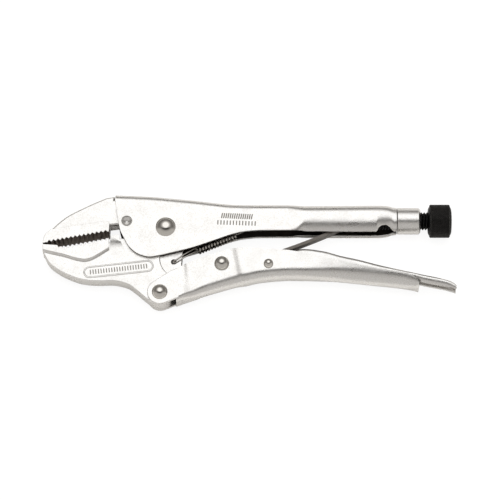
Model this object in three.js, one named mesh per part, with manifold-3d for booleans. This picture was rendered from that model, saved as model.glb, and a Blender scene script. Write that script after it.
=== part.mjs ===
// Locking pliers, closed and locked, lying on one side.
// The jaws point to -X, the adjusting screw to +X, and the rivets stand along +Z.
// The origin is on the main pivot's axis, at the surface that the rivet heads rest on.
import * as THREE from "three";
import { mergeVertices } from "three/addons/utils/BufferGeometryUtils.js";
import Module from "manifold-3d";

const wasm = await Module();
wasm.setup();

// ---------- Driving dimensions, in millimetres and degrees ----------
const GAP = 0.3; // clearance between any two pieces

const JAW_THICKNESS = 11;
const PAD_STEP = 2; // each toothed pad stands this far out of its jaw's sides
const TOOTH_PITCH = 2.6;
const TOOTH_DEPTH = 1.2;
const HUB_RADIUS = 12.5; // round boss of the moving jaw inside the handle
const TAIL_RADIUS = 7.5; // end of the moving jaw round the lever rivet
const HEEL_RADIUS = 28.5; // the heel stays outside this circle round the main pivot
const HEEL_END = 189.2; // angle at which the heel's top meets that circle
const HEEL_FRONT = -33.2;
const HEEL_TOP = -5.4;
const SPRING_HOLE_RADIUS = 1.1;
const SPINE_CLEARANCE = 0.9; // keeps the jaw's square edges off the inside of the bend

const HANDLE_SHEET = 2.2;
const HANDLE_LENGTH = 139.8; // main pivot to the rear end of the channel
const HANDLE_CORNER = 3.5; // outer bend radius at the front of the spine
const SPINE_HEIGHT = 15; // outside of the spine above the main pivot, along the grip
const ROLL_RADIUS = 7.5; // outer radius of the rolled-in lips
const ROLL_START = 79; // the lips start to roll in here
const SPRING_SLOT = [66, 1.3]; // place and radius of the spring's anchor hole

const LEVER_SHEET = 2;
const LEVER_LENGTH = 152.5; // main pivot to the lever's rear end
const LEVER_WAIST = 0.9; // the walls step in by this much beside the link
const GRIP_START = 47; // the lever is a plain grip behind this
const GRIP_DRAWN_END = 152.5; // the places along the grip are written for this length
const EAR_RADIUS = 7.5;

const RELEASE_SHEET = 1.6;
const THUMB_TAB = 22.5; // length of the release lever behind the lever

const LINK_THICKNESS = 6;
const LINK_WIDTH = 4.6;
const LINK_BOW = 2.5; // how far the link curves away from the handle
const LINK_EYE_RADIUS = 5.2;
const LINK_NOSE_RADIUS = 4;

const SCREW_HEIGHT = 6.2; // screw axis above the main pivot, along +Y
const SCREW_RADIUS = 5.4;
const SCREW_STUB_RADIUS = 3.5;
const LINK_REACH = 113; // main pivot to the end of the link, along +X
const NOSE_GAP = 5.2; // room that the link's end needs in front of the screw
const BUSH_RADIUS = 8;
const BUSH_LENGTH = 13.9;
const BUSH_CHAMFER = 0.9;
const SCREW_SHOWN = 4.8; // thread seen between the bush and the knob
const KNOB_RADIUS = 9.8;
const KNOB_LENGTH = 14;
const KNOB_ROUND = 2.4;

const LEVER_PIVOT = [-3.2, -40.8];
const LINK_PIVOT = [33.9, -22.7];
const RELEASE_PIVOT = [62, -23.1];
const JAW_PIN = [-23.5, 3.8];

const MAIN_RIVET = { shank: 4, head: 6, crown: 2.4 };
const LEVER_RIVET = { shank: 3, head: 4.7, crown: 1.9 };
const LINK_RIVET = { shank: 3, head: 4.5, crown: 1.8 };
const RELEASE_RIVET = { shank: 1.8, head: 2.9, crown: 1.1 };
const HEAD_HEIGHT = 2.6;
const JAW_PIN_RADIUS = 3.2;
const JAW_PIN_DIMPLE = 0.8;

const WIRE_RADIUS = 0.5;
const COIL_RADIUS = 2.7;
const COIL_FRONT = [18.9, -12.7];
const COIL_REAR = [41.8, -3.2];
const SPRING_EYE = [5, -21.2];

// ---------- Sizes that follow from them ----------
const JAW_HALF = JAW_THICKNESS / 2;
const HANDLE_HALF = JAW_HALF + GAP + HANDLE_SHEET;
const LEVER_HALF = JAW_HALF + GAP + LEVER_SHEET;
const RELEASE_HALF = LEVER_HALF - LEVER_SHEET - GAP;
const REST_HEIGHT = HANDLE_HALF + GAP + HEAD_HEIGHT; // mid-plane above the resting surface
const SEAT_RADIUS = HUB_RADIUS + 0.8; // hollow in the fixed jaw round the hub
const LINK_END = [LINK_REACH, SCREW_HEIGHT];
const SCREW_NOSE = LINK_END[0] + LINK_NOSE_RADIUS + NOSE_GAP;
const BUSH_FRONT = HANDLE_LENGTH + GAP;
const KNOB_FRONT = BUSH_FRONT + BUSH_LENGTH + SCREW_SHOWN;

// ---------- Solids ----------
function solid(geometry) {
  const bare = new THREE.BufferGeometry();
  const flat = geometry.index ? geometry.toNonIndexed() : geometry;
  bare.setAttribute("position", flat.getAttribute("position"));
  const merged = mergeVertices(bare, 1e-4);
  return new wasm.Manifold(
    new wasm.Mesh({
      numProp: 3,
      vertProperties: merged.getAttribute("position").array,
      triVerts: new Uint32Array(merged.index.array),
    }),
  );
}

function geometryOf(body) {
  const mesh = body.getMesh();
  const geometry = new THREE.BufferGeometry();
  const positions = new THREE.BufferAttribute(mesh.vertProperties.slice(), 3);
  geometry.setAttribute("position", positions);
  geometry.setIndex(new THREE.BufferAttribute(mesh.triVerts.slice(), 1));
  geometry.computeVertexNormals();
  return geometry;
}

// A flat outline in plan, with thickness from low to high.
function plate(points, low, high) {
  const shape = new THREE.Shape(points.map(([x, y]) => new THREE.Vector2(x, y)));
  const geometry = new THREE.ExtrudeGeometry(shape, {
    depth: high - low,
    bevelEnabled: false,
  });
  return solid(geometry.translate(0, 0, low));
}

function disc([x, y], radius, low, high, sides = 32) {
  const geometry = new THREE.CylinderGeometry(radius, radius, high - low, sides);
  geometry.rotateX(Math.PI / 2);
  return solid(geometry.translate(x, y, (low + high) / 2));
}

// A profile of [radius, height] points turned about a line along Z.
function turnedUpright(profile, [x, y], sides = 32) {
  const points = profile.map(([r, h]) => new THREE.Vector2(r, h));
  const geometry = new THREE.LatheGeometry(points, sides).rotateX(Math.PI / 2);
  return solid(geometry.translate(x, y, 0));
}

// A profile of [radius, x] points turned about the screw's axis.
function turnedOnScrewAxis(profile, sides = 36) {
  const points = profile.map(([r, x]) => new THREE.Vector2(r, x));
  const geometry = new THREE.LatheGeometry(points, sides).rotateZ(-Math.PI / 2);
  return solid(geometry.translate(0, SCREW_HEIGHT, 0));
}

// A closed body through rings of points that each lie at one x.
function loft(rings) {
  const count = rings[0].length;
  const faces = [];
  for (let ring = 0; ring < rings.length - 1; ring += 1) {
    for (let i = 0; i < count; i += 1) {
      const a = ring * count + i;
      const b = ring * count + ((i + 1) % count);
      faces.push(a, a + count, b, b, a + count, b + count);
    }
  }
  faces.push(...cap(rings[0], 0, false));
  faces.push(...cap(rings.at(-1), (rings.length - 1) * count, true));
  const geometry = new THREE.BufferGeometry();
  geometry.setAttribute("position", new THREE.Float32BufferAttribute(rings.flat(2), 3));
  geometry.setIndex(faces);
  return solid(geometry);
}

function cap(ring, first, facesForward) {
  const contour = ring.map(([, y, z]) => new THREE.Vector2(y, z));
  return THREE.ShapeUtils.triangulateShape(contour, []).flatMap((face) => {
    const [a, b, c] = face.map((i) => contour[i]);
    const turnsLeft = b.clone().sub(a).cross(c.clone().sub(a)) > 0;
    const ordered = turnsLeft === facesForward ? face : face.toReversed();
    return ordered.map((i) => first + i);
  });
}

// ---------- Outlines ----------
function spline(points, steps) {
  const curve = new THREE.SplineCurve(points.map(([x, y]) => new THREE.Vector2(x, y)));
  return curve.getPoints(steps).map(({ x, y }) => [x, y]);
}

function arc([x, y], radius, from, to, steps) {
  const turn = THREE.MathUtils.degToRad;
  return Array.from({ length: steps + 1 }, (_, i) => {
    const angle = turn(from + ((to - from) * i) / steps);
    return [x + radius * Math.cos(angle), y + radius * Math.sin(angle)];
  });
}

// Saw teeth whose tips lie on a curve; the valleys lie to the left of its direction.
function teeth(points, side) {
  const curve = new THREE.SplineCurve(points.map(([x, y]) => new THREE.Vector2(x, y)));
  const count = Math.round(curve.getLength() / TOOTH_PITCH);
  const outline = [];
  for (let i = 0; i < count; i += 1) {
    const tip = curve.getPointAt(i / count);
    const middle = curve.getPointAt((i + 0.5) / count);
    const along = curve.getTangentAt((i + 0.5) / count);
    const depth = TOOTH_DEPTH * side;
    outline.push([tip.x, tip.y]);
    outline.push([middle.x - along.y * depth, middle.y + along.x * depth]);
  }
  const last = curve.getPointAt(1);
  return [...outline, [last.x, last.y]];
}

// ---------- Pressed channels ----------
// Half of a channel's section, from the lip to the middle of the spine's bend, as
// [sideways, depth] points. Depth runs from the spine's outer face towards the lips.
function halfSection({ spine, lip, half, corner, roll, curl }, inset) {
  const depth = Math.abs(lip - spine);
  const lipTurn = THREE.MathUtils.degToRad(curl);
  const rollDepth = depth - roll * Math.sin(lipTurn);
  const points = [];
  for (let i = 0; i <= 3; i += 1) {
    const angle = lipTurn * (1 - i / 3);
    const reach = roll - inset;
    points.push([half - roll + reach * Math.cos(angle), rollDepth + reach * Math.sin(angle)]);
  }
  for (let i = 0; i <= 4; i += 1) {
    const angle = (Math.PI / 2) * (i / 4);
    const reach = corner - inset;
    points.push([half - corner + reach * Math.cos(angle), corner - reach * Math.sin(angle)]);
  }
  return points;
}

function channelRing(station, sheet) {
  const outer = halfSection(station, 0);
  const inner = halfSection(station, sheet);
  const mirrored = (points) => points.map(([side, depth]) => [-side, depth]);
  const loop = [
    ...outer,
    ...mirrored(outer).reverse(),
    ...mirrored(inner),
    ...inner.toReversed(),
  ];
  const towardsLips = Math.sign(station.lip - station.spine);
  const ring = loop.map(([side, depth]) => [
    station.x,
    station.spine + towardsLips * depth,
    side,
  ]);
  return towardsLips < 0 ? ring : ring.reverse();
}

function channel(stations, sheet) {
  return loft(stations.map((station) => channelRing(station, sheet)));
}

// ---------- Handle group ----------
function handleStations() {
  const end = HANDLE_LENGTH;
  const rows = [
    [-30.7, 21.4, 17.4],
    [-29.5, 21.3, 8.8],
    [-27.4, 21.2, -1.8],
    [-24.9, 21.1, -7.1],
    [-21.9, 21, -12.3],
    [-15.9, 20.7, -17.1],
    [-9.6, 20.4, -18.7],
    [-3.5, 19.9, -17.8],
    [2.5, 19.3, -16.4],
    [15.8, 18, -13],
    [31, 16.2, -7.7],
    [38.8, 15.4, -4.9],
    [46.7, 15.1, -2.9],
    [57, SPINE_HEIGHT, -2],
    [ROLL_START - 6, SPINE_HEIGHT, -1.9, 4.5],
    [ROLL_START, SPINE_HEIGHT, -2.1, 5.5, 22],
    [ROLL_START + 6, SPINE_HEIGHT, -2.3, 6.5, 50],
    [end - 24.8, 15.2, -2.4, 6.5, 52],
    [end - 13.3, 15.3, -2.3, 6.5, 52],
    [end - 11.3, 15.3, 0.3, 6.5, 45],
    [end - 8.8, 15.2, 0.3, 6.6, 45],
    [end - 3, 14.6, 0.3, 7, 45],
    [end - 1.5, SCREW_HEIGHT + BUSH_RADIUS, SCREW_HEIGHT - BUSH_RADIUS, 7.3, 72],
    [end, SCREW_HEIGHT + BUSH_RADIUS, SCREW_HEIGHT - BUSH_RADIUS, 7.3, 72],
  ];
  return rows.map(([x, spine, lip, corner = HANDLE_CORNER, curl = 3]) => {
    return { x, spine, lip, corner, curl, half: HANDLE_HALF, roll: ROLL_RADIUS };
  });
}

function fixedHandle() {
  const through = HANDLE_HALF + 1;
  const [slotX, slotRadius] = SPRING_SLOT;
  const slot = new THREE.CylinderGeometry(slotRadius, slotRadius, 4 * HANDLE_SHEET, 16);
  return channel(handleStations(), HANDLE_SHEET)
    .subtract(disc([0, 0], MAIN_RIVET.shank + GAP, -through, through))
    .subtract(disc(JAW_PIN, JAW_PIN_RADIUS + GAP, -through, through, 24))
    .subtract(solid(slot.translate(slotX, SPINE_HEIGHT, 0)));
}

function fixedJaw() {
  const underSpine = HANDLE_SHEET + SPINE_CLEARANCE;
  const body = [
    ...spline([[-70, -1.4], [-64, 4.4], [-57.9, 8.9], [-45.8, 15.2], [-36.2, 19.5]], 10),
    [-31.2, 20.3],
    [-31.2, 21.3 - underSpine],
    [-9.6, 20.3 - underSpine],
    [-5.6, 19.9 - underSpine],
    ...arc([0, 0], SEAT_RADIUS, 115, 190, 8),
    [-20, -2.4],
    [-26.2, -1.8],
    [-28, 2.4],
    [-33.7, 1.6],
    [-36, 0.8],
    [-70, -4.5],
  ];
  const pad = [
    [-74.1, -10.3],
    [-72, -9.7],
    ...teeth([[-71.2, -9.9], [-34.9, -3.1]], 1),
    [-34.1, -2.8],
    [-33.9, 2.6],
    [-34.7, 3.8],
    [-36.8, 4.1],
    [-69.4, -1.2],
    [-72.4, -4],
    [-73.6, -6.6],
  ];
  const padHalf = JAW_HALF + PAD_STEP;
  return plate(body, -JAW_HALF, JAW_HALF)
    .add(plate(pad, -padHalf, padHalf))
    .subtract(disc(JAW_PIN, JAW_PIN_RADIUS + GAP, -JAW_HALF - 1, JAW_HALF + 1, 24));
}

function fixedJawPin() {
  const rim = JAW_PIN_RADIUS * 0.85;
  const floor = HANDLE_HALF - JAW_PIN_DIMPLE;
  const profile = [
    [0, -floor],
    [rim, -HANDLE_HALF],
    [JAW_PIN_RADIUS, -HANDLE_HALF],
    [JAW_PIN_RADIUS, HANDLE_HALF],
    [rim, HANDLE_HALF],
    [0, floor],
  ];
  return turnedUpright(profile, JAW_PIN, 24);
}

// A rivet with a domed head outside each wall; each crown is cut flat.
function rivet({ shank, head, crown }, wallHalf, at) {
  const seat = wallHalf + GAP;
  const half = [
    [shank, seat],
    [head, seat],
    [head * 0.92, seat + (REST_HEIGHT - seat) * 0.45],
    [(head + crown) / 2, seat + (REST_HEIGHT - seat) * 0.86],
    [crown, REST_HEIGHT],
    [0, REST_HEIGHT],
  ];
  const other = half.map(([r, h]) => [r, -h]).reverse();
  return turnedUpright([...other, ...half], at, 28);
}

function threadBush() {
  const bore = SCREW_RADIUS + GAP;
  const rear = BUSH_FRONT + BUSH_LENGTH;
  return turnedOnScrewAxis([
    [bore, BUSH_FRONT],
    [BUSH_RADIUS, BUSH_FRONT],
    [BUSH_RADIUS, rear - BUSH_CHAMFER],
    [BUSH_RADIUS - BUSH_CHAMFER, rear],
    [bore, rear],
    [bore, BUSH_FRONT],
  ]);
}

// The coil's outer shape with a straight wire out of each end.
function returnSpring() {
  const front = new THREE.Vector3(...COIL_FRONT, 0);
  const rear = new THREE.Vector3(...COIL_REAR, 0);
  const eye = new THREE.Vector3(...SPRING_EYE, 0);
  const clear = SPRING_HOLE_RADIUS - WIRE_RADIUS;
  const anchor = new THREE.Vector3(SPRING_SLOT[0], SPINE_HEIGHT - clear, 0);
  const bend = new THREE.Vector3(anchor.x, SPINE_HEIGHT / 2, 0);
  const hook = eye.clone().lerp(front, 0.5);
  return tube(front, rear, COIL_RADIUS, 14)
    .add(tube(hook, front.clone().lerp(rear, 0.1), WIRE_RADIUS, 8))
    .add(tube(rear.clone().lerp(front, 0.1), bend.clone().lerp(anchor, 0.1), WIRE_RADIUS, 8))
    .add(tube(bend, anchor, WIRE_RADIUS, 8));
}

function tube(from, to, radius, sides) {
  const path = new THREE.LineCurve3(from, to);
  const ring = arc([0, 0], radius, 0, 360, sides).slice(0, -1);
  const shape = new THREE.Shape(ring.map(([x, y]) => new THREE.Vector2(x, y)));
  return solid(new THREE.ExtrudeGeometry(shape, { steps: 1, extrudePath: path }));
}

// ---------- Moving jaw ----------
// The block behind the pad, down to one height, outside the circle that the handle's edge fills.
function heel(foot) {
  const lowest = THREE.MathUtils.radToDeg(Math.asin(foot / HEEL_RADIUS));
  return [
    [HEEL_FRONT, HEEL_TOP],
    [HEEL_FRONT, foot],
    ...arc([0, 0], HEEL_RADIUS, 180 - lowest, HEEL_END, 6),
  ];
}

function movingJaw() {
  const body = [
    [-73.4, -13],
    [-60, -15.5],
    [-36, -10.4],
    [-33.2, -8.6],
    [-27.5, -6.6],
    ...arc([0, 0], HUB_RADIUS, 207, 0, 16),
    [10.6, -12],
    [9.5, -25],
    [6.4, -36],
    ...arc(LEVER_PIVOT, TAIL_RADIUS, 0, -120, 8),
    [-12.6, -43],
    [-18.6, -37.9],
    [-22.9, -35.1],
    [-30.7, -33.2],
    [-39.8, -33.3],
    ...spline([[-45.8, -33], [-51.9, -31.9], [-57.9, -29.7], [-64, -26.5], [-70, -21.7]], 8),
    [-74, -14.4],
  ];
  const pad = [
    [-74.2, -10.7],
    ...teeth([[-65.2, -11.3], [-59.7, -12.2], [-50, -10.1], [-34.9, -6.9]], -1),
    [-34.3, -6.8],
    [-33.7, -13.9],
    [-39.8, -17.7],
    [-44.6, -20.5],
    [-48.9, -21.5],
    [-54.9, -20.2],
    [-60.9, -18.3],
    [-67, -16.9],
    [-74.2, -14.1],
  ];
  const padHalf = JAW_HALF + PAD_STEP;
  const midHalf = JAW_HALF + PAD_STEP / 2;
  const through = JAW_HALF + 1;
  return plate(body.reverse(), -JAW_HALF, JAW_HALF)
    .add(plate(pad.reverse(), -padHalf, padHalf))
    .add(plate(heel(-9.2), -padHalf, padHalf))
    .add(plate(heel(-11.4), -midHalf, midHalf))
    .subtract(disc([0, 0], MAIN_RIVET.shank + GAP, -through, through))
    .subtract(disc(LEVER_PIVOT, LEVER_RIVET.shank + GAP, -through, through))
    .subtract(disc(SPRING_EYE, SPRING_HOLE_RADIUS, -through, through, 16));
}

// ---------- Lever group ----------
// Stretches a place on the lever's grip, written for the drawn length, with the lever's length.
function onGrip(x) {
  const stretch = (LEVER_LENGTH - GRIP_START) / (GRIP_DRAWN_END - GRIP_START);
  return x <= GRIP_START ? x : GRIP_START + (x - GRIP_START) * stretch;
}

function leverStations() {
  const waist = LEVER_HALF - LEVER_WAIST;
  const rows = [
    [6.5, -46.4, -26, 2.6],
    [9.5, -45.3, -24.6, 3.2],
    [12.5, -44.2, -23.4, 3.8, waist],
    [20.7, -41.2, -20.3, 5, waist],
    [31, -38.1, -16.4, 5.5, waist],
    [41.5, -35.3, -13.6, 6, waist],
    [46, -34.4, -13, 6],
    [57, -32.4, -13.1, 6],
    [66, -31.4, -13.8, 6],
    [75, -30.9, -14.7, 6],
    [84, -31.1, -16.3, 6],
    [93, -31.5, -18, 6],
    [103, -32.2, -20, 6],
    [115, -33.5, -22.9, 6],
    [127, -34.7, -25.8, 6],
    [141.6, -36.2, -28.7, 6],
    [148.5, -37, -31, 5.2],
    [GRIP_DRAWN_END, -37.4, -33.4, 3.4],
  ];
  return rows.map(([x, spine, lip, corner, half = LEVER_HALF]) => {
    return { x: onGrip(x), spine, lip, corner, half, roll: 5, curl: 3 };
  });
}

function lever() {
  const ear = [
    ...arc(LEVER_PIVOT, EAR_RADIUS, 140, 288, 10),
    [6.5, -45.2],
    [9.4, -44],
    [9.4, -24.8],
    [-3.5, -31.2],
  ];
  const inside = LEVER_HALF - LEVER_SHEET;
  const through = LEVER_HALF + 1;
  return channel(leverStations(), LEVER_SHEET)
    .add(plate(ear, inside, LEVER_HALF))
    .add(plate(ear, -LEVER_HALF, -inside))
    .subtract(disc(LEVER_PIVOT, LEVER_RIVET.shank + GAP, -through, through))
    .subtract(disc(LINK_PIVOT, LINK_RIVET.shank + GAP, -through, through))
    .subtract(disc(RELEASE_PIVOT, RELEASE_RIVET.shank + GAP, -through, through, 20));
}

function toggleLink() {
  const [x0, y0] = LINK_PIVOT;
  const [x1, y1] = LINK_END;
  const middle = [(x0 + x1) / 2 + LINK_BOW / 2, (y0 + y1) / 2 - 2 * LINK_BOW];
  const curve = new THREE.QuadraticBezierCurve(
    new THREE.Vector2(x0, y0),
    new THREE.Vector2(...middle),
    new THREE.Vector2(x1, y1),
  );
  const edge = (side) => (point, i, all) => {
    const along = curve.getTangent(i / (all.length - 1));
    const reach = (LINK_WIDTH / 2) * side;
    return [point.x - along.y * reach, point.y + along.x * reach];
  };
  const points = curve.getPoints(10);
  const outline = [...points.map(edge(-1)), ...points.map(edge(1)).reverse()];
  const half = LINK_THICKNESS / 2;
  return plate(outline, -half, half)
    .add(disc(LINK_PIVOT, LINK_EYE_RADIUS, -half, half))
    .add(disc(LINK_END, LINK_NOSE_RADIUS, -half, half, 24))
    .subtract(disc(LINK_PIVOT, LINK_RIVET.shank + GAP, -half - 1, half + 1));
}

function releaseStations() {
  const end = LEVER_LENGTH + THUMB_TAB;
  const tab = LEVER_LENGTH;
  const rows = [
    [57.3, -20.2, -26.8],
    [62, -18.6, -26.8],
    [66, -17.2, -26.2],
    [70, -15.9, -22.5],
    [76, -13.9, -20.5],
    [83, -12.6, -20],
    [onGrip(94.7), -14, -22],
    [onGrip(105.6), -17, -25],
    [onGrip(116.3), -19.4, -27.3],
    [onGrip(127), -22.3, -29.1],
    [tab - 10.9, -26, -30.8],
    [tab - 4, -27.5, -32],
    [tab + 1.5, -28.8, -33.8],
    [tab + 13.5, -31.4, -36.3],
    [end - 3, -33.3, -37.5],
    [end, -35.3, -38.2],
  ];
  return rows.map(([x, spine, lip]) => {
    return { x, spine, lip, corner: 2.4, half: RELEASE_HALF, roll: 4, curl: 3 };
  });
}

function releaseLever() {
  const through = RELEASE_HALF + 1;
  return channel(releaseStations(), RELEASE_SHEET).subtract(
    disc(RELEASE_PIVOT, RELEASE_RIVET.shank + GAP, -through, through, 20),
  );
}

// ---------- Screw group ----------
function adjustingScrew() {
  const lead = 1;
  return turnedOnScrewAxis([
    [0, SCREW_NOSE],
    [SCREW_RADIUS - lead, SCREW_NOSE],
    [SCREW_RADIUS, SCREW_NOSE + lead],
    [SCREW_RADIUS, KNOB_FRONT - GAP],
    [SCREW_STUB_RADIUS, KNOB_FRONT - GAP],
    [SCREW_STUB_RADIUS, KNOB_FRONT + KNOB_LENGTH - 2],
    [0, KNOB_FRONT + KNOB_LENGTH - 2],
  ]);
}

function screwKnob() {
  const bore = SCREW_STUB_RADIUS + GAP;
  const rear = KNOB_FRONT + KNOB_LENGTH;
  const slant = KNOB_ROUND * 0.3;
  return turnedOnScrewAxis([
    [bore, KNOB_FRONT],
    [KNOB_RADIUS - KNOB_ROUND, KNOB_FRONT],
    [KNOB_RADIUS - slant, KNOB_FRONT + slant],
    [KNOB_RADIUS, KNOB_FRONT + KNOB_ROUND],
    [KNOB_RADIUS, rear - KNOB_ROUND],
    [KNOB_RADIUS - slant, rear - slant],
    [KNOB_RADIUS - KNOB_ROUND, rear],
    [bore, rear],
    [bore, KNOB_FRONT],
  ]);
}

// ---------- Finishes ----------
const plated = { color: 0xd9d6cf, roughness: 0.35, metalness: 1 };
const polished = { color: 0xe4e2de, roughness: 0.12, metalness: 1 };
const blackened = { color: 0x141414, roughness: 0.45, metalness: 0.6 };
const springSteel = { color: 0x2a2a2a, roughness: 0.4, metalness: 0.9 };

function piece(name, body, finish) {
  const mesh = new THREE.Mesh(geometryOf(body), new THREE.MeshStandardMaterial(finish));
  mesh.name = name;
  return mesh;
}

function pliers() {
  const group = new THREE.Group();
  group.add(
    piece("fixed_handle", fixedHandle(), plated),
    piece("fixed_jaw", fixedJaw(), plated),
    piece("fixed_jaw_pin", fixedJawPin(), plated),
    piece("main_pivot_rivet", rivet(MAIN_RIVET, HANDLE_HALF, [0, 0]), polished),
    piece("thread_bush", threadBush(), plated),
    piece("return_spring", returnSpring(), springSteel),
    piece("moving_jaw", movingJaw(), plated),
    piece("lever", lever(), plated),
    piece("lever_rivet", rivet(LEVER_RIVET, LEVER_HALF, LEVER_PIVOT), polished),
    piece("link_rivet", rivet(LINK_RIVET, LEVER_HALF, LINK_PIVOT), polished),
    piece("release_rivet", rivet(RELEASE_RIVET, LEVER_HALF, RELEASE_PIVOT), polished),
    piece("toggle_link", toggleLink(), plated),
    piece("release_lever", releaseLever(), plated),
    piece("adjusting_screw", adjustingScrew(), blackened),
    piece("screw_knob", screwKnob(), blackened),
  );
  group.position.z = REST_HEIGHT;
  return group;
}

export default pliers();
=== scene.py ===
"""Plated locking pliers, closed and locked, lying on one side on a pale floor."""

import math

import bmesh
import bpy
import numpy as np
from mathutils import Matrix, Vector


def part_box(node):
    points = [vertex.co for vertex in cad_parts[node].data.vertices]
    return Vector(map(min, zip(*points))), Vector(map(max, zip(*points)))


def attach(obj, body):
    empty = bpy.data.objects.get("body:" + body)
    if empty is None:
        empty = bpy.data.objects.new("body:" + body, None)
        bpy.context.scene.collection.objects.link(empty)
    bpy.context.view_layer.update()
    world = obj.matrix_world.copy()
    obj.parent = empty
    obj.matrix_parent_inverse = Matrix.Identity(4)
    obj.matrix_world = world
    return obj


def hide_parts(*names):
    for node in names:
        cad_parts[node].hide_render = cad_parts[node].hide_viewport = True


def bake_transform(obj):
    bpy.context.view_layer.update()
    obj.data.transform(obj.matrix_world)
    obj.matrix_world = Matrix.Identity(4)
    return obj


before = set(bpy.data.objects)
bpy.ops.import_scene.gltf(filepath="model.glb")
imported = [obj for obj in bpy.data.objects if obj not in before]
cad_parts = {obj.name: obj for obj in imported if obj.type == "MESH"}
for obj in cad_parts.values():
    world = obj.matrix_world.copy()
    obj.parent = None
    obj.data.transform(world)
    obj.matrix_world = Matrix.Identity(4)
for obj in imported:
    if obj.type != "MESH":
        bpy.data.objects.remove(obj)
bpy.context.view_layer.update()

MM = 0.001


def side_half(node):
    """Half of a node's thickness along the rivets, in millimetres."""
    low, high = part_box(node)
    return (high.z - low.z) / 2 / MM


def reach(node, axis):
    """A node's lowest and highest place along one axis, in millimetres."""
    low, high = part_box(node)
    return low[axis] / MM, high[axis] / MM


# ---------- Sizes, in millimetres and degrees, from the mid-plane between the walls ----------
REST_HEIGHT = side_half("main_pivot_rivet")
GAP = 0.3
HANDLE_HALF = side_half("fixed_handle")
LEVER_HALF = side_half("lever")
RELEASE_HALF = side_half("release_lever")
PAD_HALF = side_half("fixed_jaw")
LINK_HALF = side_half("toggle_link")
HANDLE_SHEET = 2.2
LEVER_SHEET = 2.0
RELEASE_SHEET = 1.6
JAW_HALF = HANDLE_HALF - HANDLE_SHEET - GAP
HANDLE_END = reach("fixed_handle", 0)[1]
LEVER_END = reach("lever", 0)[1]
RELEASE_END = reach("release_lever", 0)[1]

LEVER_PIVOT = (-3.2, -40.8)
LINK_PIVOT = (33.9, -22.7)
RELEASE_PIVOT = (62.0, -23.1)
JAW_PIN = (-23.5, 3.8)
JAW_PIN_RADIUS = 3.2
HUB_RADIUS = 12.5
TAIL_RADIUS = 7.5
EAR_RADIUS = 7.5
SPRING_EYE = (5.0, -21.2)
COIL_FRONT = (18.9, -12.7)
COIL_REAR = (41.8, -3.2)
SPRING_ANCHOR = (66.0, 14.2)

SCREW_HEIGHT = 6.2
SCREW_RADIUS = 5.4
BUSH_FRONT, BUSH_REAR = reach("thread_bush", 0)
KNOB_FRONT, KNOB_REAR = reach("screw_knob", 0)
KNOB_RADIUS = side_half("screw_knob")
SCREW_NOSE = reach("adjusting_screw", 0)[0]

TOOTH_PITCH = 2.6
TOOTH_DEPTH = 1.3


# ---------- Meshes ----------
def piece_from(name, vertices, faces, kinds=None):
    """A mesh object from points in millimetres about the mid-plane. kinds is a material index per face."""
    mesh = bpy.data.meshes.new(name)
    mesh.from_pydata([(x * MM, y * MM, (z + REST_HEIGHT) * MM) for x, y, z in vertices], [], faces)
    if kinds is not None:
        mesh.polygons.foreach_set("material_index", kinds)
    mesh.validate()
    piece = bpy.data.objects.new(name, mesh)
    bpy.context.scene.collection.objects.link(piece)
    return piece


def settle(piece):
    """Turns a piece's modifiers into its mesh."""
    bpy.context.view_layer.update()
    evaluated = piece.evaluated_get(bpy.context.evaluated_depsgraph_get())
    made = bpy.data.meshes.new_from_object(evaluated)
    piece.modifiers.clear()
    spent = piece.data
    piece.data = made
    bpy.data.meshes.remove(spent)
    return piece


def bevelled(piece, width, segments=3, angle=32):
    """Breaks the edges, as tumbling does."""
    bevel = piece.modifiers.new("broken edges", "BEVEL")
    bevel.width = width * MM
    bevel.segments = segments
    bevel.limit_method = "ANGLE"
    bevel.angle_limit = math.radians(angle)
    return settle(piece)


def combined(piece, other, operation):
    """Joins another closed body to a piece, or cuts it out of it, and uses the other up."""
    cut = piece.modifiers.new(operation.lower(), "BOOLEAN")
    cut.operation = operation
    cut.solver = "EXACT"
    cut.object = other
    settle(piece)
    bpy.data.objects.remove(other)
    return piece


def together(name, *pieces):
    """One piece out of several closed bodies."""
    form = bmesh.new()
    for piece in pieces:
        form.from_mesh(piece.data)
        bpy.data.objects.remove(piece)
    mesh = bpy.data.meshes.new(name)
    form.to_mesh(mesh)
    form.free()
    joined = bpy.data.objects.new(name, mesh)
    bpy.context.scene.collection.objects.link(joined)
    return joined


def smooth(piece, angle=32):
    """Smooth shading with crisp edges, and flat faces that stay flat."""
    mesh = piece.data
    mesh.polygons.foreach_set("use_smooth", [True] * len(mesh.polygons))
    mesh.set_sharp_from_angle(angle=math.radians(angle))
    weighted = piece.modifiers.new("flat faces", "WEIGHTED_NORMAL")
    weighted.keep_sharp = True
    return settle(piece)


def closed_tube(rings):
    """Faces between rings of equal count, and how many points a ring has."""
    count = len(rings[0])
    faces = []
    for ring in range(len(rings) - 1):
        for i in range(count):
            a, b = ring * count + i, ring * count + (i + 1) % count
            faces.append((a, b, b + count, a + count))
    return faces, count


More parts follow.
